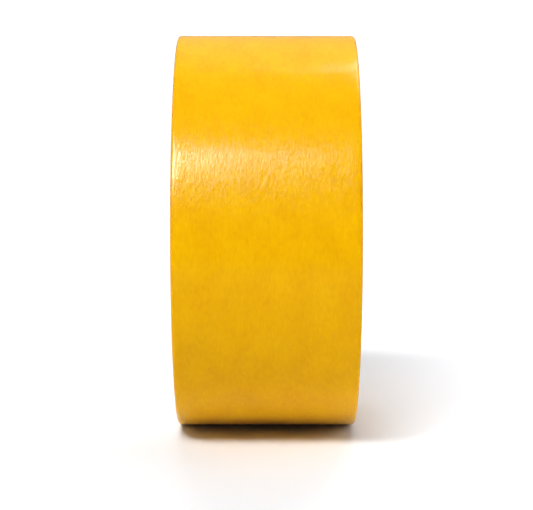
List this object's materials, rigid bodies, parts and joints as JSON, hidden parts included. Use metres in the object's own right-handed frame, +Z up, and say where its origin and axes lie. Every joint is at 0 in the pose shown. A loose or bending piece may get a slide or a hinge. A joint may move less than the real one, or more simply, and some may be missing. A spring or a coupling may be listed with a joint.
{
  "type": "masking tape roll",
  "caption": "Roll of golden-yellow washi masking tape, wound spirally on a laminated paper core, with a free end that peels off the outer turn.",
  "frame": {"origin": "the middle of the roll: on its axis, half way across its width", "axes": "+X along the roll's axis, +Y to the back and +Z up; the roll stands on its edge, on the outer turn at -Z, and the free end is on the upper back"},
  "size_m": [0.05, 0.1115, 0.1115],
  "materials": {
    "tape_paper": "satin",
    "core_board": "matte",
    "core_liner": "matte"
  },
  "bodies": {
    "roll": {"core_inner_liner": "core_liner", "core_ply_1": "core_board", "core_ply_2": "core_board", "core_ply_3": "core_board", "core_ply_4": "core_board", "core_ply_5": "core_board", "core_outer_ply": "core_board", "wound_tape": "tape_paper", "outer_turn": "tape_paper"},
    "free_end": {"free_end": "tape_paper"}
  },
  "joints": [
    {"name": "free_end_peel", "type": "hinge", "parent": "roll", "child": "free_end", "pos_m": [0, 0.03226, 0.04556], "axis": [1, 0, 0], "range_deg": [0, 150]}
  ]
}
